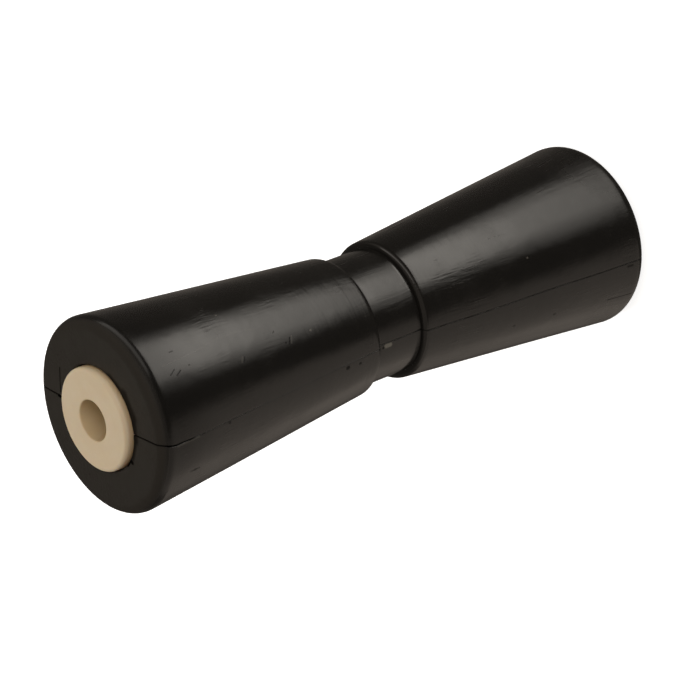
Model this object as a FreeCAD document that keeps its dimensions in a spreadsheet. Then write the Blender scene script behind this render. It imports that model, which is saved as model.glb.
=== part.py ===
# Boat trailer keel roller: a moulded rubber double cone with a stepped neck, and a flanged nylon bush
# pressed into each end to run on the trailer's spindle.
# The roller stands on its lower bush. +Z runs along the spindle's axis, the origin is the centre of the
# lower bush's outer face, and all lengths are millimetres.

import FreeCAD, Part
import Sketcher
import math
import os

# Driving dimensions, one row of the sheet each: name, value, meaning.
SIZES = [
    ("body_length", 254.0, "rubber body from end face to end face"),
    ("end_diameter", 79.0, "cone at the end face, before the edge is rounded"),
    ("waist_diameter", 57.4, "cone at the shoulder, before the crest is rounded"),
    ("shoulder_height", 2.65, "step from the cone's waist down to the keel seat"),
    ("neck_length", 22.4, "keel seat from shoulder to shoulder"),
    ("end_edge_radius", 5.0, "rounding of the rubber's end edge"),
    ("crest_radius", 2.2, "rounding of the shoulder's crest"),
    ("core_bore_diameter", 28.0, "bore moulded through the rubber, which grips the bush barrels"),
    ("flange_seat_depth", 2.0, "recess in the end face for the bush flange"),
    ("flange_seat_gap", 0.6, "radial gap round the flange in its recess"),
    ("spindle_diameter", 16.0, "trailer spindle that the bushes run on"),
    ("spindle_clearance", 0.1, "radial clearance between spindle and bush"),
    ("flange_diameter", 41.0, "bush flange"),
    ("flange_thickness", 5.0, "bush flange, part of it in the recess"),
    ("flange_edge_chamfer", 0.8, "broken outer edge of the flange"),
    ("bore_mouth_chamfer", 0.4, "broken edge of the spindle bore's mouth"),
    ("barrel_length", 30.0, "bush barrel below the flange"),
    ("lead_in_chamfer", 1.5, "chamfer that starts the barrel into the rubber"),
]

# Expressions that more than one feature shares.
HALF_LENGTH = "Sizes.body_length / 2"
HALF_NECK = "Sizes.neck_length / 2"
END_RADIUS = "Sizes.end_diameter / 2"
WAIST_RADIUS = "Sizes.waist_diameter / 2"
NECK_RADIUS = WAIST_RADIUS + " - Sizes.shoulder_height"
CORE_RADIUS = "Sizes.core_bore_diameter / 2"
FLANGE_RADIUS = "Sizes.flange_diameter / 2"
SEAT_RADIUS = FLANGE_RADIUS + " + Sizes.flange_seat_gap"
BORE_RADIUS = "Sizes.spindle_diameter / 2 + Sizes.spindle_clearance"
FLANGE_PROUD = "(Sizes.flange_thickness - Sizes.flange_seat_depth)"
ON_MIDDLE = "0"

# Share of the shoulder's height that the rounding of its crest may take.
CREST_SHARE = 0.95

# The sketcher's number for a sketch's own level axis.
LEVEL_AXIS = -1

# How closely an edge's radius and height have to agree with a size to be that edge.
MATCH = 1e-4


def make_sheet(doc):
    """Write the driving dimensions into the document's sheet."""
    sheet = doc.addObject("Spreadsheet::Sheet", "Sizes")
    for row, (name, value, meaning) in enumerate(SIZES, start=1):
        sheet.set(f"A{row}", name)
        sheet.set(f"B{row}", str(value))
        sheet.set(f"C{row}", meaning)
        sheet.setAlias(f"B{row}", name)
    doc.recompute()


def size_of(doc, expression):
    """Return what a sheet expression comes to."""
    return doc.getObject("Sizes").evalExpression(expression)


def origin_plane(body, role):
    """Return the body's own origin plane of that role."""
    for feature in body.Origin.OriginFeatures:
        if feature.Role == role:
            return feature
    raise ValueError(f"{body.Name} has no {role}")


def bind_distance(sketch, line, direction, expression):
    """Hold the start of a line at a bound distance from the sketch's origin."""
    value = size_of(sketch.Document, expression)
    number = sketch.addConstraint(Sketcher.Constraint(direction, -1, 1, line, 1, value))
    sketch.setExpression(f"Constraints[{number}]", expression)


def draw_outline(sketch, corners):
    """Draw a closed outline whose corners are bound to pairs of sheet expressions."""
    doc = sketch.Document
    points = [FreeCAD.Vector(size_of(doc, across), size_of(doc, along), 0) for across, along in corners]
    followers = points[1:] + points[:1]
    for start, end in zip(points, followers):
        sketch.addGeometry(Part.LineSegment(start, end), False)
    for line in range(len(points)):
        following = (line + 1) % len(points)
        sketch.addConstraint(Sketcher.Constraint("Coincident", line, 2, following, 1))
    for line, (across, along) in enumerate(corners):
        bind_distance(sketch, line, "DistanceX", across)
        if along == ON_MIDDLE:
            sketch.addConstraint(Sketcher.Constraint("PointOnObject", line, 1, LEVEL_AXIS))
        else:
            bind_distance(sketch, line, "DistanceY", along)


def revolve(body, name, corners):
    """Revolve a half section in the XZ plane about the body's Z axis."""
    sketch = body.newObject("Sketcher::SketchObject", name + "Section")
    sketch.AttachmentSupport = [(origin_plane(body, "XZ_Plane"), "")]
    sketch.MapMode = "FlatFace"
    draw_outline(sketch, corners)
    body.Document.recompute()
    solid = body.newObject("PartDesign::Revolution", name)
    solid.Profile = (sketch, [""])
    solid.ReferenceAxis = (sketch, ["V_Axis"])
    solid.Angle = 360
    body.Document.recompute()
    return solid


def circles_at(shape, radius, heights):
    """Return the names of the shape's circular edges of one radius at the given heights."""
    names = []
    for number, edge in enumerate(shape.Edges, start=1):
        if not isinstance(edge.Curve, Part.Circle):
            continue
        same_height = any(math.isclose(edge.Curve.Center.z, height, abs_tol=MATCH) for height in heights)
        if same_height and math.isclose(edge.Curve.Radius, radius, abs_tol=MATCH):
            names.append(f"Edge{number}")
    return names


def dress_edges(body, kind, name, radius, heights, size):
    """Fillet or chamfer the circular edges of one radius at the given heights, to a bound size."""
    doc = body.Document
    base = body.Tip
    heights = [size_of(doc, height) for height in heights]
    edges = circles_at(base.Shape, size_of(doc, radius), heights)
    if len(edges) != len(heights):
        raise ValueError(f"{name} found {len(edges)} edges for {len(heights)} heights")
    dressed = body.newObject("PartDesign::" + kind, name)
    dressed.Base = (base, edges)
    dressed.setExpression("Radius" if kind == "Fillet" else "Size", size)
    doc.recompute()


def make_roller_body(doc):
    """Mould the rubber double cone with its core bore and the seats for the bush flanges.

    Half of it is revolved, mirrored about the middle plane and rounded at its ends and shoulders.
    """
    body = doc.addObject("PartDesign::Body", "RollerBody")
    body.Label = "roller_body"
    seat_floor = f"{HALF_LENGTH} - Sizes.flange_seat_depth"
    half = revolve(body, "RollerHalf", [
        (NECK_RADIUS, ON_MIDDLE),
        (NECK_RADIUS, HALF_NECK),
        (WAIST_RADIUS, HALF_NECK),
        (END_RADIUS, HALF_LENGTH),
        (SEAT_RADIUS, HALF_LENGTH),
        (SEAT_RADIUS, seat_floor),
        (CORE_RADIUS, seat_floor),
        (CORE_RADIUS, ON_MIDDLE),
    ])
    mirrored = body.newObject("PartDesign::Mirrored", "RollerMirrored")
    mirrored.Originals = [half]
    mirrored.MirrorPlane = (origin_plane(body, "XY_Plane"), [""])
    body.Tip = mirrored
    doc.recompute()

    ends = [HALF_LENGTH, f"-{HALF_LENGTH}"]
    shoulders = [HALF_NECK, f"-{HALF_NECK}"]
    crest = f"min(Sizes.crest_radius; {CREST_SHARE} * Sizes.shoulder_height)"
    dress_edges(body, "Fillet", "EndEdges", END_RADIUS, ends, "Sizes.end_edge_radius")
    dress_edges(body, "Fillet", "ShoulderCrests", WAIST_RADIUS, shoulders, crest)
    body.setExpression("Placement.Base.z", f"{HALF_LENGTH} + {FLANGE_PROUD}")
    return body


def make_bush(doc, name, label):
    """Make one flanged bush about its seat plane: flange above the plane, barrel below it."""
    body = doc.addObject("PartDesign::Body", name)
    body.Label = label
    barrel_end = "-Sizes.barrel_length"
    flange_top = "Sizes.flange_thickness"
    revolve(body, name + "Turned", [
        (BORE_RADIUS, barrel_end),
        (CORE_RADIUS, barrel_end),
        (CORE_RADIUS, ON_MIDDLE),
        (FLANGE_RADIUS, ON_MIDDLE),
        (FLANGE_RADIUS, flange_top),
        (BORE_RADIUS, flange_top),
    ])
    dress_edges(body, "Chamfer", name + "FlangeEdge", FLANGE_RADIUS, [flange_top], "Sizes.flange_edge_chamfer")
    dress_edges(body, "Chamfer", name + "BoreMouth", BORE_RADIUS, [flange_top], "Sizes.bore_mouth_chamfer")
    dress_edges(body, "Chamfer", name + "LeadIn", CORE_RADIUS, [barrel_end], "Sizes.lead_in_chamfer")
    return body


def seat_bushes(upper, lower):
    """Put each bush flange on the floor of its recess, the lower bush upside down."""
    upper.setExpression("Placement.Base.z", f"Sizes.body_length + 2 * {FLANGE_PROUD} - Sizes.flange_thickness")
    lower.Placement.Rotation = FreeCAD.Rotation(FreeCAD.Vector(1, 0, 0), 180)
    lower.setExpression("Placement.Base.z", "Sizes.flange_thickness")


def check_document(doc, parts):
    """Stop if a feature failed, or a sub-part isn't one valid solid."""
    for item in doc.Objects:
        if "Invalid" in item.State or "Error" in item.State:
            raise RuntimeError(f"{item.Name} failed: {item.State}")
    for part in parts:
        shape = part.Shape
        if shape.isNull() or not shape.isValid() or len(shape.Solids) != 1:
            raise RuntimeError(f"{part.Label} isn't one valid solid")


def export_parts(parts):
    """Write each sub-part to the file that its label names."""
    os.makedirs("parts", exist_ok=True)
    for part in parts:
        box = part.Shape.BoundBox
        part.Shape.exportStep(f"parts/{part.Label}.step")
        print(f"{part.Label}: volume {part.Shape.Volume:.1f} mm3, z {box.ZMin:.2f} to {box.ZMax:.2f}")


doc = FreeCAD.newDocument("KeelRoller")
make_sheet(doc)
roller_body = make_roller_body(doc)
upper_bush = make_bush(doc, "UpperBush", "upper_bush")
lower_bush = make_bush(doc, "LowerBush", "lower_bush")
seat_bushes(upper_bush, lower_bush)
doc.recompute()
check_document(doc, [roller_body, upper_bush, lower_bush])
export_parts([roller_body, upper_bush, lower_bush])
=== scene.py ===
"""Boat trailer keel roller: a moulded rubber double cone with a flanged nylon bush in each end.

The roller stands on its lower bush. +Z runs along its axis and every length is in metres.
Angles round the axis are in degrees from +X, near which one of the mould's parting lines runs.
"""

import logging
import math
from dataclasses import dataclass, replace
from enum import Enum

import bpy
import numpy as np
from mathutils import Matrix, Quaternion, Vector


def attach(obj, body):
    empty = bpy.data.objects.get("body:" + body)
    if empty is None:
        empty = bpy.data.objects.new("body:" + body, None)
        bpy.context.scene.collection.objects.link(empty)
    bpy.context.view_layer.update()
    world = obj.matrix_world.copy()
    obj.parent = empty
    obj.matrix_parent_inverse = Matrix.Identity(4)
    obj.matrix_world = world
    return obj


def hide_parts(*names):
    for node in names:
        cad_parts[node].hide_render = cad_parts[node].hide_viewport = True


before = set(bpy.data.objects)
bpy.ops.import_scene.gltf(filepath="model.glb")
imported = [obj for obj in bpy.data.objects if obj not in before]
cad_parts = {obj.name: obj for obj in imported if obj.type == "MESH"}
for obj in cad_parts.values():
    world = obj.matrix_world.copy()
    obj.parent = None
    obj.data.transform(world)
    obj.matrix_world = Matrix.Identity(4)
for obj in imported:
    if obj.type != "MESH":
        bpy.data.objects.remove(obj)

LOG = logging.getLogger("roller")
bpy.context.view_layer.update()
MM = 0.001
MIDDLE_HEIGHT = 0.13
SHARP_ANGLE = 38.0

Colour = tuple[float, float, float]
Place = tuple[float, float]
Reach = tuple[float, float]
Socket = bpy.types.NodeSocket

WHITE: Colour = (1.0, 1.0, 1.0)


class End(Enum):
    """The two ends of the roller."""

    UPPER = "upper"
    LOWER = "lower"


class Blemish(Enum):
    """What a mark on the rubber looks like."""

    PIT = "pit"
    NICK = "nick"
    SPECK = "speck"
    SCRATCH = "scratch"


@dataclass(frozen=True)
class Corner:
    """A corner of a half section.

    Attributes:
        radius: Distance from the axis.
        height: Height up the axis.
        rounding: Radius of the corner's rounding, 0 for a sharp corner.
        steps: Chords in the rounding.
    """

    radius: float
    height: float
    rounding: float = 0.0
    steps: int = 1


@dataclass(frozen=True)
class Section:
    """A closed half section that runs anticlockwise, with its outward normals.

    Attributes:
        radii: Distance of each point from the axis.
        heights: Height of each point.
        out_radii: Radial share of each point's outward normal.
        out_heights: Axial share of each point's outward normal.
    """

    radii: np.ndarray
    heights: np.ndarray
    out_radii: np.ndarray
    out_heights: np.ndarray

    @classmethod
    def from_corners(cls, corners: list[Corner], spacing: float) -> "Section":
        """Round the corners and divide the straight runs.

        Args:
            corners: The section's corners in order.
            spacing: Longest step along a straight run.

        Returns:
            The finished section.
        """
        points: list[np.ndarray] = []
        for number, corner in enumerate(corners):
            before, after = corners[number - 1], corners[(number + 1) % len(corners)]
            points.extend(cls._rounded(before, corner, after))
        closed = points + [points[0]]
        fine: list[np.ndarray] = []
        for start, end in zip(closed, closed[1:]):
            parts = max(1, math.ceil(float(np.linalg.norm(end - start)) / spacing))
            fine.extend(start + (end - start) * step / parts for step in range(parts))
        outline = np.array(fine)
        along = np.roll(outline, -1, axis=0) - np.roll(outline, 1, axis=0)
        along /= np.linalg.norm(along, axis=1)[:, None]
        return cls(outline[:, 0], outline[:, 1], along[:, 1], -along[:, 0])

    @staticmethod
    def _rounded(before: Corner, corner: Corner, after: Corner) -> list[np.ndarray]:
        """Return the points that stand for one corner."""
        tip = np.array([corner.radius, corner.height])
        if corner.rounding <= 0:
            return [tip]
        back = np.array([before.radius, before.height]) - tip
        ahead = np.array([after.radius, after.height]) - tip
        back /= np.linalg.norm(back)
        ahead /= np.linalg.norm(ahead)
        half_angle = math.acos(float(np.clip(back @ ahead, -1, 1))) / 2
        bisector = (back + ahead) / np.linalg.norm(back + ahead)
        centre = tip + bisector * corner.rounding / math.sin(half_angle)
        reach = corner.rounding / math.tan(half_angle)
        first, last = tip + back * reach - centre, tip + ahead * reach - centre
        turn = math.acos(float(np.clip(first @ last / corner.rounding**2, -1, 1)))
        if first[0] * last[1] - first[1] * last[0] < 0:
            turn = -turn
        points = []
        for step in range(corner.steps + 1):
            angle = turn * step / corner.steps
            c, s = math.cos(angle), math.sin(angle)
            points.append(centre + np.array([first[0] * c - first[1] * s, first[0] * s + first[1] * c]))
        return points

    def turned(self, name: str, angles: np.ndarray, relief: np.ndarray) -> bpy.types.Object:
        """Turn the section about the axis into a closed mesh.

        Args:
            name: The piece's name.
            angles: Angle in radians of each column, one row for each point of the section.
            relief: How far each vertex stands out along its normal.

        Returns:
            The new piece, linked to the scene.
        """
        radii = self.radii[:, None] + relief * self.out_radii[:, None]
        heights = self.heights[:, None] + relief * self.out_heights[:, None]
        points = np.stack([radii * np.cos(angles), radii * np.sin(angles), heights], axis=-1)
        rows, columns = angles.shape
        corner = np.arange(rows * columns).reshape(rows, columns)
        above = np.roll(corner, -1, axis=0)
        quads = np.stack([corner, np.roll(corner, -1, axis=1), np.roll(above, -1, axis=1), above], axis=-1)
        mesh = bpy.data.meshes.new(name)
        mesh.from_pydata(points.reshape(-1, 3).tolist(), [], quads.reshape(-1, 4).tolist())
        mesh.validate()
        mesh.shade_smooth()
        mesh.set_sharp_from_angle(angle=math.radians(SHARP_ANGLE))
        piece = bpy.data.objects.new(name, mesh)
        bpy.context.scene.collection.objects.link(piece)
        return piece


class Graph:
    """Adds nodes to one node tree and links them."""

    def __init__(self, tree: bpy.types.NodeTree) -> None:
        """Keep the tree that the nodes go into."""
        self.tree = tree

    def node(self, kind: str, **settings: object) -> bpy.types.Node:
        """Add a node and give it its settings.

        Args:
            kind: Blender's name of the node type.
            **settings: Properties of the node.

        Returns:
            The new node.
        """
        made = self.tree.nodes.new(kind)
        for name, value in settings.items():
            setattr(made, name, value)
        return made

    def feed(self, socket: Socket, value: object) -> None:
        """Link a socket to an input, or set the input to a plain value."""
        if isinstance(value, Socket):
            self.tree.links.new(value, socket)
        else:
            socket.default_value = value

    def math(self, operation: str, *values: object, clamp: bool = False) -> Socket:
        """Return the result of a Math node on sockets or numbers."""
        made = self.node("ShaderNodeMath", operation=operation, use_clamp=clamp)
        for socket, value in zip(made.inputs, values):
            self.feed(socket, value)
        return made.outputs[0]

    def vector(self, operation: str, *values: object, scale: object = None) -> bpy.types.Node:
        """Return a Vector Math node on sockets or vectors."""
        made = self.node("ShaderNodeVectorMath", operation=operation)
        for socket, value in zip(made.inputs, values):
            self.feed(socket, value)
        if scale is not None:
            self.feed(made.inputs["Scale"], scale)
        return made

    def ramp(self, value: object, low: object, high: object, to_low: object = 0.0,
             to_high: object = 1.0) -> Socket:
        """Return a value carried smoothly from one range into another."""
        made = self.node("ShaderNodeMapRange", interpolation_type="SMOOTHSTEP")
        for name, given in (("Value", value), ("From Min", low), ("From Max", high),
                            ("To Min", to_low), ("To Max", to_high)):
            self.feed(made.inputs[name], given)
        return made.outputs["Result"]

    def noise(self, place: object, scale: object, detail: float = 2.0, rough: float = 0.5,
              output: str = "Fac") -> Socket:
        """Return the noise at a place: one value, or three with "Color" as the output."""
        made = self.node("ShaderNodeTexNoise")
        self.feed(made.inputs["Vector"], place)
        self.feed(made.inputs["Scale"], scale)
        made.inputs["Detail"].default_value = detail
        made.inputs["Roughness"].default_value = rough
        return made.outputs[output]

    def height_of(self, place: object) -> Socket:
        """Return how high a place is."""
        made = self.node("ShaderNodeSeparateXYZ")
        self.feed(made.inputs["Vector"], place)
        return made.outputs["Z"]

    def bump(self, height: object) -> Socket:
        """Return the normal of a relief whose height is in metres."""
        made = self.node("ShaderNodeBump")
        self.feed(made.inputs["Height"], height)
        made.inputs["Distance"].default_value = 1.0
        return made.outputs["Normal"]

    def blend(self, share: object, first: object, second: object) -> Socket:
        """Return a colour between two colours."""
        made = self.node("ShaderNodeMix", data_type="RGBA")
        self.feed(made.inputs["Factor"], share)
        self.feed(made.inputs["A"], first if isinstance(first, Socket) else (*first, 1.0))
        self.feed(made.inputs["B"], second if isinstance(second, Socket) else (*second, 1.0))
        return made.outputs["Result"]

    def group(self, tree: bpy.types.NodeTree, **values: object) -> bpy.types.Node:
        """Place a shared effect, naming its inputs with _ for a space."""
        made = self.node("ShaderNodeGroup", node_tree=tree)
        for name, value in values.items():
            self.feed(made.inputs[name.replace("_", " ")], value)
        return made


class Effects:
    """The effects that the rubber and the nylon share, each a node group built once."""

    # The broad unevenness's fineness, as a share of the grain's.
    BROADNESS = 0.05
    # The noise at which smudges begin with no cover, how far full cover lowers that, and half their fade.
    SMUDGE_LEVEL = 0.72
    COVER_DROP = 0.4
    SMUDGE_FADE = 0.12
    # The noise between which scuffed places begin, and between which a hairline in them shows.
    SCUFFED = (0.44, 0.60)
    HAIRLINE = (0.66, 0.74)
    # A hairline's fineness as a multiple of a smudge's, how far and how finely it bends, and its stretch.
    HAIR_FINENESS = 34.0
    HAIR_BEND = 0.006
    BEND_FINENESS = 18.0
    HAIR_STRETCH = (1.0, 1.0, 0.06)
    # How the tooling rings stretch round the axis.
    RING_STRETCH = (0.05, 0.05, 1.0)
    # Share of a mark's or a ringed stretch's half width that shows in full.
    CORE = 0.35

    def __init__(self) -> None:
        """Build every shared group."""
        self.grain = self._grain()
        self.handling = self._handling()
        self.tooling = self._tooling()
        self.mark = self._mark()

    @staticmethod
    def _new(name: str, inputs: dict[str, str], outputs: dict[str, str]) -> tuple[Graph, dict, dict]:
        """Start a group.

        Args:
            name: The group's name.
            inputs: Kind of each input, by its name.
            outputs: Kind of each output, by its name.

        Returns:
            The group's graph, its input sockets and its output sockets.
        """
        tree = bpy.data.node_groups.new(name, "ShaderNodeTree")
        for label, kind in inputs.items():
            tree.interface.new_socket(label, in_out="INPUT", socket_type="NodeSocket" + kind)
        for label, kind in outputs.items():
            tree.interface.new_socket(label, in_out="OUTPUT", socket_type="NodeSocket" + kind)
        graph = Graph(tree)
        entry, leave = graph.node("NodeGroupInput"), graph.node("NodeGroupOutput")
        return (graph, {label: entry.outputs[label] for label in inputs},
                {label: leave.inputs[label] for label in outputs})

    def _grain(self) -> bpy.types.NodeTree:
        """Build the fine moulded grain: small dimples on a soft unevenness."""
        graph, given, out = self._new(
            "Moulded grain", {"Place": "Vector", "Fineness": "Float", "Unevenness": "Float"},
            {"Height": "Float"})
        fine = graph.noise(given["Place"], given["Fineness"], 4.0, 0.6)
        broad = graph.noise(given["Place"], graph.math("MULTIPLY", given["Fineness"], self.BROADNESS))
        graph.feed(out["Height"], graph.math("MULTIPLY_ADD", broad, given["Unevenness"], fine))
        return graph.tree

    def _handling(self) -> bpy.types.NodeTree:
        """Build what handling leaves: faint smudges, and places rubbed with fine lengthwise scratches."""
        graph, given, out = self._new(
            "Handling marks", {"Place": "Vector", "Fineness": "Float", "Cover": "Float"},
            {"Smudge": "Float", "Scuffs": "Float", "Hatch": "Float"})
        cloud = graph.noise(given["Place"], given["Fineness"], 5.0, 0.65)
        drop = graph.math("MULTIPLY", given["Cover"], self.COVER_DROP)
        level = graph.math("SUBTRACT", self.SMUDGE_LEVEL, drop)
        graph.feed(out["Smudge"], graph.ramp(cloud, graph.math("SUBTRACT", level, self.SMUDGE_FADE),
                                             graph.math("ADD", level, self.SMUDGE_FADE)))
        bend = graph.noise(given["Place"], self.BEND_FINENESS, output="Color")
        bent = graph.vector("SCALE", bend, scale=self.HAIR_BEND).outputs["Vector"]
        bent = graph.vector("ADD", given["Place"], bent).outputs["Vector"]
        drawn = graph.vector("MULTIPLY", bent, self.HAIR_STRETCH).outputs["Vector"]
        hair = graph.noise(drawn, graph.math("MULTIPLY", given["Fineness"], self.HAIR_FINENESS), rough=0.6)
        where = graph.ramp(cloud, *self.SCUFFED)
        graph.feed(out["Hatch"], graph.math("MULTIPLY", graph.math("SUBTRACT", hair, 0.5), where))
        line = graph.ramp(hair, *self.HAIRLINE)
        graph.feed(out["Scuffs"], graph.math("MULTIPLY", line, where))
        return graph.tree

    def _tooling(self) -> bpy.types.NodeTree:
        """Build the fine rings that a turned mould prints, between two heights."""
        graph, given, out = self._new(
            "Tooling rings", {"Place": "Vector", "Fineness": "Float", "From": "Float", "To": "Float"},
            {"Height": "Float"})
        flat = graph.vector("MULTIPLY", given["Place"], self.RING_STRETCH).outputs["Vector"]
        rings = graph.noise(flat, given["Fineness"], rough=0.7)
        height = graph.height_of(given["Place"])
        middle = graph.math("MULTIPLY", graph.math("ADD", given["From"], given["To"]), 0.5)
        reach = graph.math("SUBTRACT", given["To"], middle)
        away = graph.math("ABSOLUTE", graph.math("SUBTRACT", height, middle))
        there = graph.ramp(graph.math("DIVIDE", away, reach), self.CORE, 1.0, 1.0, 0.0)
        graph.feed(out["Height"], graph.math("MULTIPLY", rings, there))
        return graph.tree

    def _mark(self) -> bpy.types.NodeTree:
        """Build one pit, speck or scratch: the space round a short straight line."""
        graph, given, out = self._new(
            "Single mark", {"Place": "Vector", "Start": "Vector", "End": "Vector", "Radius": "Float"},
            {"Mask": "Float"})
        run = graph.vector("SUBTRACT", given["End"], given["Start"]).outputs["Vector"]
        from_start = graph.vector("SUBTRACT", given["Place"], given["Start"]).outputs["Vector"]
        dot = graph.vector("DOT_PRODUCT", from_start, run).outputs["Value"]
        length = graph.vector("DOT_PRODUCT", run, run).outputs["Value"]
        share = graph.math("DIVIDE", dot, graph.math("MAXIMUM", length, 1e-12), clamp=True)
        nearest = graph.vector("SCALE", run, scale=share).outputs["Vector"]
        away = graph.vector("DISTANCE", from_start, nearest).outputs["Value"]
        across = graph.math("DIVIDE", away, given["Radius"])
        graph.feed(out["Mask"], graph.ramp(across, self.CORE, 1.0, 1.0, 0.0))
        return graph.tree


@dataclass(frozen=True)
class Mark:
    """A blemish on the rubber, or a painted shadow on it, from one place to another.

    Attributes:
        start: Angle in degrees and height in millimetres. On the upper end face the second number is
            the distance from the axis.
        end: The same for its other end.
        radius: Half its width in millimetres.
        look: What it looks like.
        strength: How plain it is, 1 for the plainest.
        on_face: True on the upper end face.
    """

    start: Place
    end: Place
    radius: float
    look: Blemish
    strength: float = 1.0
    on_face: bool = False


MARKS = [
    # Beside the parting line, from the upper end down.
    Mark((0.7, 250.0), (0.8, 239.0), 0.5, Blemish.NICK, 0.25),
    Mark((0.4, 223.6), (0.4, 224.0), 0.8, Blemish.PIT, 0.5),
    Mark((-0.8, 160.4), (-0.8, 160.9), 1.15, Blemish.PIT, 0.75),
    Mark((-2.0, 153.6), (-2.0, 154.0), 0.8, Blemish.PIT, 0.65),
    Mark((-1.7, 138.3), (-1.7, 138.6), 0.7, Blemish.PIT, 0.8),
    Mark((-1.2, 134.8), (-1.0, 137.2), 1.3, Blemish.NICK),
    Mark((0.0, 11.2), (0.0, 13.6), 0.8, Blemish.PIT, 0.5),
    # On the upper cone.
    Mark((38.4, 242.2), (40.4, 239.8), 0.45, Blemish.SCRATCH, 0.35),
    Mark((39.6, 245.0), (42.0, 242.2), 0.4, Blemish.SCRATCH, 0.3),
    Mark((-22.0, 237.6), (-21.4, 242.2), 0.45, Blemish.SCRATCH, 0.6),
    Mark((-21.7, 239.6), (-21.7, 240.2), 0.9, Blemish.PIT, 0.6),
    Mark((52.2, 240.4), (52.4, 238.9), 0.4, Blemish.SCRATCH, 0.3),
    Mark((41.6, 235.0), (41.6, 235.3), 0.5, Blemish.PIT, 0.25),
    Mark((34.8, 211.0), (32.4, 211.8), 0.6, Blemish.NICK, 0.25),
    Mark((34.6, 209.9), (32.4, 210.8), 0.4, Blemish.SCRATCH, 0.5),
    Mark((66.8, 211.0), (66.8, 211.3), 0.5, Blemish.SPECK, 0.4),
    Mark((43.8, 191.8), (42.8, 192.6), 0.4, Blemish.SCRATCH, 0.35),
    Mark((34.0, 188.6), (34.0, 188.9), 0.5, Blemish.PIT, 0.5),
    Mark((36.8, 185.0), (32.4, 186.2), 0.5, Blemish.NICK, 0.3),
    Mark((36.4, 186.1), (32.4, 187.3), 0.4, Blemish.SCRATCH, 0.6),
    Mark((36.0, 175.0), (36.0, 175.3), 0.6, Blemish.SPECK, 0.5),
    # One long faint scratch that bends along the upper cone.
    Mark((45.6, 246.2), (48.0, 230.0), 0.3, Blemish.NICK, 0.12),
    Mark((48.0, 230.0), (51.4, 217.0), 0.3, Blemish.NICK, 0.12),
    Mark((51.4, 217.0), (51.0, 205.0), 0.3, Blemish.NICK, 0.12),
    Mark((51.0, 205.0), (48.0, 196.0), 0.3, Blemish.NICK, 0.1),
    # On the lower cone.
    Mark((-19.2, 72.0), (-19.2, 72.4), 0.8, Blemish.PIT, 0.5),
    Mark((28.8, 63.6), (28.8, 63.9), 0.5, Blemish.SPECK, 0.5),
    Mark((-19.6, 50.8), (-19.6, 51.2), 0.95, Blemish.PIT, 0.5),
    Mark((-22.0, 8.5), (-21.6, 22.0), 0.3, Blemish.SCRATCH),
    # On the upper end face: a painted shadow of the flange along one side of it, drawn as pits, then a crease
    # and notches in the seat's edge.
    Mark((-24.0, 21.4), (-2.0, 21.8), 2.2, Blemish.PIT, 0.45, on_face=True),
    Mark((-2.0, 21.8), (20.0, 22.4), 3.0, Blemish.PIT, 0.5, on_face=True),
    Mark((20.0, 22.4), (44.0, 22.4), 3.4, Blemish.PIT, 0.5, on_face=True),
    Mark((44.0, 22.2), (68.0, 21.4), 2.4, Blemish.PIT, 0.45, on_face=True),
    Mark((152.6, 26.8), (164.0, 25.2), 0.4, Blemish.SCRATCH, on_face=True),
    Mark((164.0, 25.2), (175.2, 24.2), 0.4, Blemish.SCRATCH, on_face=True),
    Mark((180.0, 22.8), (180.0, 25.8), 0.9, Blemish.PIT, on_face=True),
    Mark((-38.5, 21.2), (-29.6, 21.4), 1.0, Blemish.PIT, on_face=True),
    Mark((-29.6, 21.4), (-29.6, 22.6), 1.1, Blemish.PIT, on_face=True),
]


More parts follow.
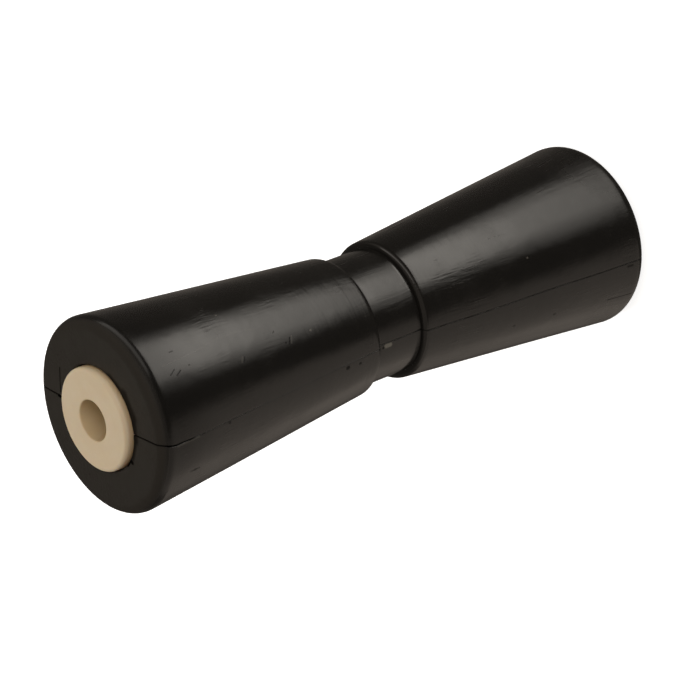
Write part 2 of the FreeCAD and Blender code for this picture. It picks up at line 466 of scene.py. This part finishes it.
@dataclass(frozen=True)
class RubberFinish:
    """Satin moulded black rubber with a brownish cast.

    Attributes:
        colour: The rubber itself.
        dusty: Where handling has left it paler.
        scuffed: The fine scratches that handling leaves.
        end_face: The matt rubber of the end faces.
        hollow: The bottom of a pit, a scratch or the parting line, where shade is painted, and the painted
            shadow of the upper flange on the end face.
        nick: A torn edge that has gone pale.
        speck: A speck of dust.
        roughness: Its plain roughness.
        grain: Depth of the moulded grain.
        ring: Depth of the tooling rings.
        hatch: Depth of the scuffs.
        end_edge: Distances from the middle between which the end faces begin.
        worn_reach: Distances from the middle between which the cones grow rougher.
        dull_reach: Heights between which the upper cone grows duller.
    """

    colour: Colour = (0.0050, 0.0046, 0.0040)
    dusty: Colour = (0.0090, 0.0082, 0.0070)
    scuffed: Colour = (0.05, 0.048, 0.044)
    end_face: Colour = (0.0260, 0.0232, 0.0197)
    hollow: Colour = (0.002, 0.002, 0.002)
    nick: Colour = (0.10, 0.095, 0.08)
    speck: Colour = (0.15, 0.14, 0.12)
    roughness: float = 0.17
    grain: float = 0.000009
    ring: float = 0.000045
    hatch: float = 0.00012
    end_edge: Reach = (0.1240, 0.1262)
    worn_reach: Reach = (0.092, 0.1240)
    dull_reach: Reach = (0.224, 0.250)

    # Share of the dusty and the scuffed colour where smudges and scuffs are plainest.
    SMUDGE_SHARE = 0.45
    SCUFF_SHARE = 0.35
    # What each kind of place adds to the roughness.
    SMUDGE_ROUGHNESS = 0.09
    SCUFF_ROUGHNESS = 0.22
    WORN_ROUGHNESS = 0.05
    END_ROUGHNESS = 0.23
    HOLLOW_ROUGHNESS = 0.4
    # How metallic a hollow is, which with its black colour leaves it no shine.
    HOLLOW_METALLIC = 0.9
    # The specular level, and what the dull end of the upper cone and the end faces take from it.
    LEVEL = 0.5
    DULL_LOSS = 0.15
    END_LOSS = 0.3

    def _relief(self, graph: Graph, effects: Effects, place: Socket, hatch: Socket,
                rings: list[Reach]) -> Socket:
        """Return the height of the grain, the tooling rings and the scuffs."""
        grain = graph.group(effects.grain, Place=place, Fineness=1500.0, Unevenness=20.0)
        height = graph.math("MULTIPLY", grain.outputs["Height"], self.grain)
        for low, high in rings:
            ring = graph.group(effects.tooling, Place=place, Fineness=800.0, From=low, To=high)
            height = graph.math("MULTIPLY_ADD", ring.outputs["Height"], self.ring, height)
        return graph.math("MULTIPLY_ADD", hatch, self.hatch, height)

    def _marked(self, graph: Graph, effects: Effects, place: Socket, colour: Socket,
                marks: list[tuple[Mark, Vector, Vector]]) -> tuple[Socket, Socket]:
        """Return the mask of the hollows, and the colour with the pale marks in it."""
        hollow = graph.node("ShaderNodeAttribute", attribute_name="seam").outputs["Fac"]
        for mark, start, end in marks:
            single = graph.group(effects.mark, Place=place, Start=start, End=end, Radius=mark.radius * MM)
            mask = graph.math("MULTIPLY", single.outputs["Mask"], mark.strength)
            if mark.look in (Blemish.PIT, Blemish.SCRATCH):
                hollow = graph.math("MAXIMUM", hollow, mask)
            else:
                pale = self.speck if mark.look is Blemish.SPECK else self.nick
                colour = graph.blend(mask, colour, pale)
        return hollow, colour

    def material(self, effects: Effects, marks: list[tuple[Mark, Vector, Vector]],
                 rings: list[Reach]) -> bpy.types.Material:
        """Make the rubber's material.

        A hollow is black: a deep, narrow place lets hardly any light back out, and its shade is painted.
        The dark marks beside the upper flange on the end face are a painted shadow of the flange, drawn as
        pits.

        Args:
            effects: The shared effects.
            marks: Each blemish with where it starts and ends.
            rings: Heights between which the mould's tooling rings show.

        Returns:
            The material.
        """
        made = bpy.data.materials.new("satin_black_rubber")
        made.use_nodes = True
        graph = Graph(made.node_tree)
        shader = made.node_tree.nodes["Principled BSDF"]
        place = graph.node("ShaderNodeTexCoord").outputs["Object"]
        handling = graph.group(effects.handling, Place=place, Fineness=26.0, Cover=0.42)
        smudge, scuffs = handling.outputs["Smudge"], handling.outputs["Scuffs"]
        up = graph.height_of(place)
        from_middle = graph.math("ABSOLUTE", graph.math("SUBTRACT", up, MIDDLE_HEIGHT))
        on_end = graph.ramp(from_middle, *self.end_edge)
        colour = graph.blend(graph.math("MULTIPLY", smudge, self.SMUDGE_SHARE), self.colour, self.dusty)
        colour = graph.blend(graph.math("MULTIPLY", scuffs, self.SCUFF_SHARE), colour, self.scuffed)
        colour = graph.blend(on_end, colour, self.end_face)
        rough = graph.math("MULTIPLY_ADD", smudge, self.SMUDGE_ROUGHNESS, self.roughness)
        rough = graph.math("MULTIPLY_ADD", scuffs, self.SCUFF_ROUGHNESS, rough)
        worn = graph.ramp(from_middle, *self.worn_reach)
        rough = graph.math("MULTIPLY_ADD", worn, self.WORN_ROUGHNESS, rough)
        rough = graph.math("MULTIPLY_ADD", on_end, self.END_ROUGHNESS, rough)
        height = self._relief(graph, effects, place, handling.outputs["Hatch"], rings)
        hollow, colour = self._marked(graph, effects, place, colour, marks)
        colour = graph.blend(hollow, colour, self.hollow)
        rough = graph.math("MULTIPLY_ADD", hollow, self.HOLLOW_ROUGHNESS, rough, clamp=True)
        graph.feed(shader.inputs["Metallic"], graph.math("MULTIPLY", hollow, self.HOLLOW_METALLIC))
        dull = graph.math("MULTIPLY", graph.ramp(up, *self.dull_reach), self.DULL_LOSS)
        lost = graph.math("MAXIMUM", dull, graph.math("MULTIPLY", on_end, self.END_LOSS))
        level = graph.math("MULTIPLY_ADD", lost, -1.0, self.LEVEL)
        graph.feed(shader.inputs["Specular IOR Level"], level)
        graph.feed(shader.inputs["Normal"], graph.bump(height))
        graph.feed(shader.inputs["Base Color"], colour)
        graph.feed(shader.inputs["Roughness"], rough)
        shader.inputs["IOR"].default_value = 1.5
        return made


@dataclass(frozen=True)
class NylonFinish:
    """Natural cream nylon, slightly waxy.

    Attributes:
        colour: The nylon itself.
        amber: Where it is thicker or handled.
        bore: Painted shade on the bore's wall, which is painted darker and more amber.
        foot: Painted shade at the foot of the flange's edge, where it meets the rubber.
        roughness: Its plain roughness.
        grain: Depth of its grain.
        bore_edge: Radii between which the bore's wall ends.
        foot_heights: Distances from the middle between which the painted shade at the foot of the edge fades.
        foot_radii: Radii between which the painted shade at the foot of the edge begins.
    """

    colour: Colour = (0.70, 0.592, 0.43)
    amber: Colour = (0.62, 0.49, 0.32)
    bore: Colour = (0.56, 0.43, 0.25)
    foot: Colour = (0.46, 0.29, 0.13)
    roughness: float = 0.42
    grain: float = 0.000010
    bore_edge: Reach = (0.0080, 0.0088)
    foot_heights: Reach = (0.1270, 0.1292)
    foot_radii: Reach = (0.015, 0.019)

    # Share of the amber, of the painted shade in the bore and of the painted shade at the flange's foot,
    # where each is plainest.
    AMBER_SHARE = 0.22
    BORE_SHADE_SHARE = 0.75
    FOOT_SHADE_SHARE = 0.6
    # What smudges add to the roughness.
    SMUDGE_ROUGHNESS = 0.08

    def material(self, effects: Effects) -> bpy.types.Material:
        """Make the nylon's material.

        Args:
            effects: The shared effects.

        Returns:
            The material.
        """
        made = bpy.data.materials.new("cream_nylon")
        made.use_nodes = True
        graph = Graph(made.node_tree)
        shader = made.node_tree.nodes["Principled BSDF"]
        place = graph.node("ShaderNodeTexCoord").outputs["Object"]
        handling = graph.group(effects.handling, Place=place, Fineness=60.0, Cover=0.5)
        smudge = handling.outputs["Smudge"]
        colour = graph.blend(graph.math("MULTIPLY", smudge, self.AMBER_SHARE), self.colour, self.amber)
        up = graph.height_of(place)
        flat = graph.vector("MULTIPLY", place, (1.0, 1.0, 0.0)).outputs["Vector"]
        from_axis = graph.vector("LENGTH", flat).outputs["Value"]
        # Painted shade: the bore's wall is painted darker and more amber.
        in_bore = graph.ramp(from_axis, *self.bore_edge, 1.0, 0.0)
        colour = graph.blend(graph.math("MULTIPLY", in_bore, self.BORE_SHADE_SHARE), colour, self.bore)
        from_middle = graph.math("ABSOLUTE", graph.math("SUBTRACT", up, MIDDLE_HEIGHT))
        # Painted shade: the flange's edge is painted browner towards its foot, next to the rubber.
        foot = graph.math("MULTIPLY", graph.ramp(from_middle, *self.foot_heights, self.FOOT_SHADE_SHARE, 0.0),
                          graph.ramp(from_axis, *self.foot_radii))
        colour = graph.blend(foot, colour, self.foot)
        grain = graph.group(effects.grain, Place=place, Fineness=1100.0, Unevenness=3.0)
        height = graph.math("MULTIPLY", grain.outputs["Height"], self.grain)
        graph.feed(shader.inputs["Normal"], graph.bump(height))
        graph.feed(shader.inputs["Base Color"], colour)
        rough = graph.math("MULTIPLY_ADD", smudge, self.SMUDGE_ROUGHNESS, self.roughness)
        graph.feed(shader.inputs["Roughness"], rough)
        shader.inputs["IOR"].default_value = 1.53
        shader.inputs["Subsurface Weight"].default_value = 0.25
        shader.inputs["Subsurface Radius"].default_value = (1.0, 0.6, 0.3)
        shader.inputs["Subsurface Scale"].default_value = 0.003
        return made


@dataclass(frozen=True)
class PartingLine:
    """The shallow groove where the mould's halves met.

    Attributes:
        angle: Where it runs, in degrees.
        jog: How far it steps aside on the upper end face, in degrees.
        jog_reach: How far below that face it starts to step aside.
        half_width: Half the groove's width.
        depth: The groove's depth.
        lip: How far its edges stand up.
    """

    angle: float
    jog: float
    jog_reach: float = 7.0 * MM
    half_width: float = 0.27 * MM
    depth: float = 0.7 * MM
    lip: float = 0.012 * MM

    # Columns of the mesh beside the line, in half widths.
    SPREAD = (-6.0, -3.0, -1.5, -1.0, -0.6, 0.0, 0.6, 1.0, 1.5, 3.0, 6.0)
    # Where the groove's wall starts, how wide it is, where the lip stands and its width, in half widths.
    WALL_TOP = 1.1
    WALL_WIDTH = 0.5
    LIP_PLACE = 1.5
    LIP_WIDTH = 0.7
    # Degrees, length and phase of each wave in which the line wanders.
    WAVES = ((0.25, 0.021, 0.0), (0.18, 0.0083, 1.0))

    def centre(self, heights: np.ndarray, top: float) -> np.ndarray:
        """Return the line's angle in radians at each height, for an upper end face at the height top."""
        wander = sum(size * np.sin(heights / length + phase) for size, length, phase in self.WAVES)
        on_face = np.clip((heights - (top - self.jog_reach)) / self.jog_reach, 0, 1)
        on_face = on_face * on_face * (3 - 2 * on_face)
        return np.radians(self.angle + wander * (1 - on_face) + self.jog * on_face)

    def relief(self, spread: np.ndarray) -> np.ndarray:
        """Return the groove's depth and lip at offsets in half widths."""
        away = np.abs(spread)
        groove = -self.depth * np.clip((self.WALL_TOP - away) / self.WALL_WIDTH, 0, 1)
        return groove + self.lip * np.exp(-((away - self.LIP_PLACE) / self.LIP_WIDTH) ** 2)


@dataclass
class RubberRoller:
    """The rubber moulding: two cones, a stepped neck, a core bore and the seats for the bush flanges.

    Attributes:
        foot: Height of its lower end face.
        length: Its length between the end faces.
        end_radius: Radius of a cone at its end face.
        waist_radius: Radius of a cone at its shoulder.
        neck_radius: Radius of the neck.
        neck_length: Length of the neck.
        end_edge: Rounding of the end edges.
        crest: Rounding of the shoulders.
        root: Rounding at the shoulders' foot.
        seat_radius: Radius of a flange's seat.
        seat_edge: Rounding of the seat's edge.
        seat_depth: Depth of the seat.
        core_radius: Radius of the core bore.
        spacing: Longest step along the section.
        columns_between: Columns of the mesh between two parting lines.
        steady_radius: Radius inside which the columns keep their angles.
        inset: How far the wall stands inside the plain solid's.
        sway: Size of the wall's slow unevenness.
        ripple: Size of its quicker unevenness.
        ring_reach: How far the tooling rings reach along a cone from its shoulder.
        ring_past: How far they reach past the shoulder.
    """

    foot: float = 3.0 * MM
    length: float = 254.0 * MM
    end_radius: float = 39.5 * MM
    waist_radius: float = 28.7 * MM
    neck_radius: float = 26.05 * MM
    neck_length: float = 22.4 * MM
    end_edge: float = 5.0 * MM
    crest: float = 2.5 * MM
    root: float = 0.15 * MM
    seat_radius: float = 21.1 * MM
    seat_edge: float = 0.35 * MM
    seat_depth: float = 2.0 * MM
    core_radius: float = 14.0 * MM
    spacing: float = 1.3 * MM
    columns_between: int = 112
    steady_radius: float = 20.0 * MM
    inset: float = 0.07 * MM
    sway: float = 0.05 * MM
    ripple: float = 0.02 * MM
    ring_reach: float = 45.0 * MM
    ring_past: float = 6.0 * MM

    @property
    def top(self) -> float:
        """Height of the upper end face."""
        return self.foot + self.length

    @property
    def shoulders(self) -> Reach:
        """Heights of the lower and the upper shoulder."""
        low = self.foot + (self.length - self.neck_length) / 2
        high = self.foot + (self.length + self.neck_length) / 2
        return low, high

    def section(self) -> Section:
        """Return the moulding's half section."""
        foot, top = self.foot, self.top
        low, high = self.shoulders
        return Section.from_corners([
            Corner(self.core_radius, foot + self.seat_depth),
            Corner(self.seat_radius, foot + self.seat_depth),
            Corner(self.seat_radius, foot, self.seat_edge, 3),
            Corner(self.end_radius, foot, self.end_edge, 12),
            Corner(self.waist_radius, low, self.crest, 8),
            Corner(self.neck_radius, low, self.root, 2),
            Corner(self.neck_radius, high, self.root, 2),
            Corner(self.waist_radius, high, self.crest, 8),
            Corner(self.end_radius, top, self.end_edge, 12),
            Corner(self.seat_radius, top, self.seat_edge, 3),
            Corner(self.seat_radius, top - self.seat_depth),
            Corner(self.core_radius, top - self.seat_depth),
        ], self.spacing)

    def cone_radius(self, height: float) -> float:
        """Return the outside radius at a height on the cones or the neck."""
        from_middle = abs(height - self.foot - self.length / 2)
        if from_middle < self.neck_length / 2:
            return self.neck_radius
        share = (from_middle - self.neck_length / 2) / (self.length / 2 - self.neck_length / 2)
        return self.waist_radius + (self.end_radius - self.waist_radius) * share

    def columns(self, section: Section, lines: list[PartingLine]) -> tuple[np.ndarray, np.ndarray]:
        """Place the mesh's columns, close together at the two parting lines.

        Inside the steady radius they keep the angles that they have there.

        Args:
            section: The half section.
            lines: The parting lines, in order of angle.

        Returns:
            The angle of every vertex, and its groove relief.
        """
        radii = np.maximum(section.radii, self.steady_radius)
        outside = (section.radii > self.seat_radius - 0.1 * MM).astype(float)
        angles, relief = [], []
        for number, line in enumerate(lines):
            centre = line.centre(section.heights, self.top)
            spread = np.array(line.SPREAD)
            fan = centre[:, None] + spread[None, :] * line.half_width / radii[:, None]
            angles.append(fan)
            relief.append(line.relief(spread)[None, :] * (outside * self._strength(section.heights))[:, None])
            following = lines[(number + 1) % len(lines)]
            reach = following.centre(section.heights, self.top)
            if number == len(lines) - 1:
                reach = reach + 2 * math.pi
            stop = reach + following.SPREAD[0] * following.half_width / radii
            share = np.arange(1, self.columns_between + 1) / (self.columns_between + 1)
            between = fan[:, -1:] + (stop[:, None] - fan[:, -1:]) * share[None, :]
            angles.append(between)
            relief.append(np.zeros_like(between))
        return np.hstack(angles), np.hstack(relief)

    def _strength(self, heights: np.ndarray) -> np.ndarray:
        """Return how deep the parting line is at each height, faint along the upper cone."""
        middle = self.foot + self.length / 2
        shoulder = middle + self.neck_length / 2
        depths = {
            shoulder: 0.31,
            shoulder + 3 * MM: 0.26,
            middle + 40 * MM: 0.18,
            self.top - 18 * MM: 0.18,
            self.top - 8 * MM: 1.0,
        }
        return np.interp(heights, list(depths), list(depths.values()))

    def ends_of(self, mark: Mark) -> tuple[Vector, Vector]:
        """Return where a mark starts and where it ends."""
        found = []
        for angle, reading in (mark.start, mark.end):
            height = self.top if mark.on_face else reading * MM
            from_axis = reading * MM if mark.on_face else self.cone_radius(height)
            turn = math.radians(angle)
            found.append(Vector((from_axis * math.cos(turn), from_axis * math.sin(turn), height)))
        return found[0], found[1]

    def build(self, effects: Effects) -> bpy.types.Object:
        """Build the moulding and dress it.

        Args:
            effects: The shared effects.

        Returns:
            The rubber body.
        """
        section = self.section()
        lines = [PartingLine(angle=2.1, jog=1.3), PartingLine(angle=180.0, jog=-0.3)]
        angles, groove = self.columns(section, lines)
        outside = (section.radii > self.neck_radius - 1 * MM)[:, None]
        sway = self.sway * np.sin(2 * angles + section.heights[:, None] / 0.05)
        ripple = self.ripple * np.sin(5 * angles + section.heights[:, None] / 0.017)
        body = section.turned("rubber_body", angles, groove + (sway + ripple - self.inset) * outside)
        seam = body.data.attributes.new("seam", "FLOAT", "POINT")
        seam.data.foreach_set("value", np.clip(-groove / lines[0].depth, 0, 1).ravel())
        low, high = self.shoulders
        rings = [
            (low - self.ring_reach, low + self.ring_past),
            (high - self.ring_past, high + self.ring_reach),
        ]
        marks = [(mark, *self.ends_of(mark)) for mark in MARKS]
        body.data.materials.append(RubberFinish().material(effects, marks, rings))
        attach(body, "root")
        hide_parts("roller_body")
        return body


@dataclass
class NylonBush:
    """A flanged bush: a flange in the rubber's seat, a barrel in its core bore and the spindle bore.

    Attributes:
        end: The end of the roller that it is in.
        overall: The roller's length over both flanges.
        bore_radius: Radius of the spindle bore.
        barrel_radius: Radius of the barrel.
        flange_radius: Radius of the flange.
        flange_thickness: Thickness of the flange.
        barrel_length: Length of the barrel.
        edge: Rounding of the flange's edge.
        mouth: Rounding of the bore's mouth.
        lead_in: Chamfer at the barrel's end.
        spacing: Longest step along the section.
        columns: Columns of the mesh round the axis.
    """

    end: End
    overall: float = 260.0 * MM
    bore_radius: float = 8.1 * MM
    barrel_radius: float = 14.0 * MM
    flange_radius: float = 20.5 * MM
    flange_thickness: float = 5.0 * MM
    barrel_length: float = 30.0 * MM
    edge: float = 1.6 * MM
    mouth: float = 0.5 * MM
    lead_in: float = 1.5 * MM
    spacing: float = 1.2 * MM
    columns: int = 144

    def section(self) -> Section:
        """Return the bush's half section at its end of the roller."""
        face = self.overall
        seat = face - self.flange_thickness
        foot = seat - self.barrel_length
        corners = [
            Corner(self.bore_radius, foot),
            Corner(self.barrel_radius - self.lead_in, foot),
            Corner(self.barrel_radius, foot + self.lead_in),
            Corner(self.barrel_radius, seat),
            Corner(self.flange_radius, seat),
            Corner(self.flange_radius, face, self.edge, 8),
            Corner(self.bore_radius, face, self.mouth, 5),
        ]
        if self.end is End.LOWER:
            corners = [replace(corner, height=self.overall - corner.height) for corner in reversed(corners)]
        return Section.from_corners(corners, self.spacing)

    def build(self, finish: bpy.types.Material) -> bpy.types.Object:
        """Build the bush.

        Args:
            finish: The nylon's material.

        Returns:
            The bush.
        """
        section = self.section()
        turn = np.linspace(0, 2 * math.pi, self.columns, endpoint=False)
        angles = np.tile(turn, (len(section.radii), 1))
        bush = section.turned(f"{self.end.value}_nylon_bush", angles, np.zeros_like(angles))
        bush.data.materials.append(finish)
        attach(bush, "root")
        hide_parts(f"{self.end.value}_bush")
        return bush


@dataclass(frozen=True)
class Softbox:
    """A flat soft lamp that faces the middle of the roller.

    Attributes:
        name: The lamp's name.
        azimuth: Its bearing in degrees from +X.
        elevation: Its height above the roller's middle in degrees.
        distance: How far away it is.
        width: Its width.
        height: Its height.
        brightness: Its brightness, 1 for white.
        tint: Its colour.
        feather: How much wider its faintest layer is than its middle one, 0 for a single layer.
        mirrored: Whether glossy surfaces show it.
    """

    name: str
    azimuth: float
    elevation: float
    distance: float
    width: float
    height: float
    brightness: float
    tint: Colour
    feather: float = 0.0
    mirrored: bool = True

    WARM = (1.0, 0.97, 0.925)
    CREAM = (1.0, 0.945, 0.865)
    AMBER = (1.0, 0.87, 0.75)
    # Layers of a lamp whose sides fade, and how far apart they hang.
    LAYERS = 5
    LAYER_GAP = 0.002

    def build(self, middle: Vector) -> None:
        """Hang the lamp, in layers of growing width where its light falls off towards its sides.

        Args:
            middle: What it faces.
        """
        layers = self.LAYERS if self.feather > 0 else 1
        away = bearing(self.azimuth, self.elevation)
        for layer in range(layers):
            width = self.width + self.feather * ((2 * layer + 1) / layers - 1)
            lamp = bpy.data.lights.new(f"{self.name}_{layer}", "AREA")
            lamp.shape = "RECTANGLE"
            lamp.size, lamp.size_y = width, self.height
            lamp.energy = self.brightness / layers * math.pi * width * self.height
            lamp.color = self.tint
            made = bpy.data.objects.new(lamp.name, lamp)
            made.location = middle + away * (self.distance + layer * self.LAYER_GAP)
            made.rotation_euler = (-away).to_track_quat("-Z", "Y").to_euler()
            made.visible_camera = False
            made.visible_glossy = self.mirrored
            bpy.context.scene.collection.objects.link(made)


def bearing(azimuth: float, elevation: float) -> Vector:
    """Return the unit vector that points along a bearing, in degrees."""
    turn, rise = math.radians(azimuth), math.radians(elevation)
    return Vector((math.cos(turn) * math.cos(rise), math.sin(turn) * math.cos(rise), math.sin(rise)))


@dataclass
class Studio:
    """The pale floor, the lamps, the dim surroundings and the camera.

    Attributes:
        middle: The roller's middle, which the lamps face.
        floor_reach: Radius of the floor.
        floor_sides: Number of its sides.
        floor_drop: How far it lies below the roller's foot.
        floor_glow: How bright it is by itself where it is seen, 1 for white.
        shade: The surroundings below, and in their dark quarter.
        sky: The surroundings above.
        horizon: Vertical shares of a direction between which the sky begins.
        dark_quarter: Bearing of the dark quarter's middle.
        quarter_edge: Cosines from that bearing between which the dark quarter begins.
        lens: The camera's focal length in millimetres.
        aim: What the camera looks at.
        view: The camera's bearing from there.
        view_distance: The camera's distance from there.
        roll: How far the camera is turned on its side, in degrees.
        softboxes: The lamps.
    """

    middle: tuple[float, float, float] = (0.0, 0.0, MIDDLE_HEIGHT)
    floor_reach: float = 7.0
    floor_sides: int = 64
    floor_drop: float = 0.0002
    floor_glow: float = 0.8
    shade: Colour = (0.09, 0.08, 0.07)
    sky: Colour = (0.32, 0.28, 0.24)
    horizon: Reach = (0.02, 0.22)
    dark_quarter: tuple[float, float] = (212.0, 25.0)
    quarter_edge: Reach = (0.35, 0.75)
    lens: float = 141.256
    aim: tuple[float, float, float] = (0.002394, -0.011049, 0.135401)
    view: tuple[float, float] = (32.5461, 36.0180)
    view_distance: float = 1.095363
    roll: float = -111.5068
    softboxes: tuple[Softbox, ...] = (
        Softbox("main_softbox", 69.5, -34.0, 0.458, 0.39, 0.20, 2.05, Softbox.CREAM, 0.22),
        Softbox("main_top_softbox", 69.5, -28.5, 0.47, 0.38, 0.10, 1.55, Softbox.CREAM),
        Softbox("edge_strip", 92.0, 32.0, 0.22, 0.30, 0.08, 1.15, Softbox.CREAM),
        Softbox("side_softbox", -48.0, -20.0, 1.3, 1.93, 1.9, 0.43, Softbox.AMBER, 0.5),
        Softbox("low_side_softbox", -100.0, -44.0, 1.3, 0.5, 0.9, 0.25, Softbox.AMBER, 0.35),
        Softbox("back_softbox", 196.0, -40.0, 1.3, 1.0, 1.3, 0.07, Softbox.AMBER, 0.5),
        Softbox("key_softbox", 210.0, 42.0, 1.4, 0.6, 0.6, 9.5, Softbox.WARM, mirrored=False),
        Softbox("fill_softbox", 52.0, 30.0, 1.4, 0.8, 0.8, 3.0, Softbox.WARM, mirrored=False),
    )

    def build(self) -> None:
        """Lay the floor, hang the lamps, set the world and the camera."""
        self._floor()
        for softbox in self.softboxes:
            softbox.build(Vector(self.middle))
        self._world()
        self._camera()

    def _floor(self) -> None:
        """Lay the floor that the roller stands on."""
        mesh = bpy.data.meshes.new("floor")
        turns = [2 * math.pi * side / self.floor_sides for side in range(self.floor_sides)]
        rim = [(self.floor_reach * math.cos(turn), self.floor_reach * math.sin(turn), -self.floor_drop)
               for turn in turns]
        mesh.from_pydata(rim, [], [tuple(range(self.floor_sides))])
        floor = bpy.data.objects.new("floor", mesh)
        bpy.context.scene.collection.objects.link(floor)
        floor.visible_glossy = False
        floor.visible_shadow = False
        made = bpy.data.materials.new("pale_floor")
        made.use_nodes = True
        graph = Graph(made.node_tree)
        shader = made.node_tree.nodes["Principled BSDF"]
        shader.inputs["Base Color"].default_value = (0.8, 0.8, 0.8, 1.0)
        shader.inputs["Roughness"].default_value = 0.9
        shader.inputs["Specular IOR Level"].default_value = 0.1
        path = graph.node("ShaderNodeLightPath")
        seen = graph.math("MAXIMUM", path.outputs["Is Camera Ray"], path.outputs["Is Glossy Ray"])
        seen = graph.math("MAXIMUM", seen, path.outputs["Is Transmission Ray"])
        graph.feed(shader.inputs["Emission Strength"], graph.math("MULTIPLY", seen, self.floor_glow))
        shader.inputs["Emission Color"].default_value = (*WHITE, 1.0)
        mesh.materials.append(made)

    def _world(self) -> None:
        """Set the dim surroundings, which the camera sees as white."""
        world = bpy.data.worlds.new("studio")
        world.use_nodes = True
        graph = Graph(world.node_tree)
        background = world.node_tree.nodes["Background"]
        direction = graph.node("ShaderNodeTexCoord").outputs["Generated"]
        above = graph.ramp(graph.height_of(direction), *self.horizon)
        facing = graph.vector("DOT_PRODUCT", direction, bearing(*self.dark_quarter)).outputs["Value"]
        light = graph.math("MULTIPLY", above, graph.ramp(facing, *self.quarter_edge, 1.0, 0.0))
        colour = graph.blend(light, self.shade, self.sky)
        path = graph.node("ShaderNodeLightPath")
        colour = graph.blend(path.outputs["Is Camera Ray"], colour, WHITE)
        graph.feed(background.inputs["Color"], colour)
        background.inputs["Strength"].default_value = 1.0
        bpy.context.scene.world = world

    def _camera(self) -> None:
        """Set the camera where the photograph was taken from, turned on its side."""
        data = bpy.data.cameras.new("camera")
        data.lens = self.lens
        data.sensor_width = 36.0
        data.clip_start, data.clip_end = 0.05, 50.0
        camera = bpy.data.objects.new("camera", data)
        away = bearing(*self.view)
        camera.location = Vector(self.aim) + away * self.view_distance
        camera.rotation_mode = "QUATERNION"
        level = (-away).to_track_quat("-Z", "Y")
        camera.rotation_quaternion = level @ Quaternion((0, 0, 1), math.radians(self.roll))
        bpy.context.scene.collection.objects.link(camera)
        bpy.context.scene.camera = camera


def report(piece: bpy.types.Object) -> None:
    """Log how many faces a piece has and the size of its box."""
    low, high = piece.bound_box[0], piece.bound_box[6]
    span = " x ".join(f"{(b - a) / MM:.1f}" for a, b in zip(low, high))
    LOG.info("%s: %d faces, %s mm", piece.name, len(piece.data.polygons), span)


def main() -> None:
    """Build the roller and the studio."""
    logging.basicConfig(level=logging.INFO, format="%(name)s: %(message)s")
    bpy.context.scene.view_settings.view_transform = "Standard"
    effects = Effects()
    report(RubberRoller().build(effects))
    nylon = NylonFinish().material(effects)
    for end in End:
        report(NylonBush(end).build(nylon))
    Studio().build()


if __name__ == "__main__":
    main()
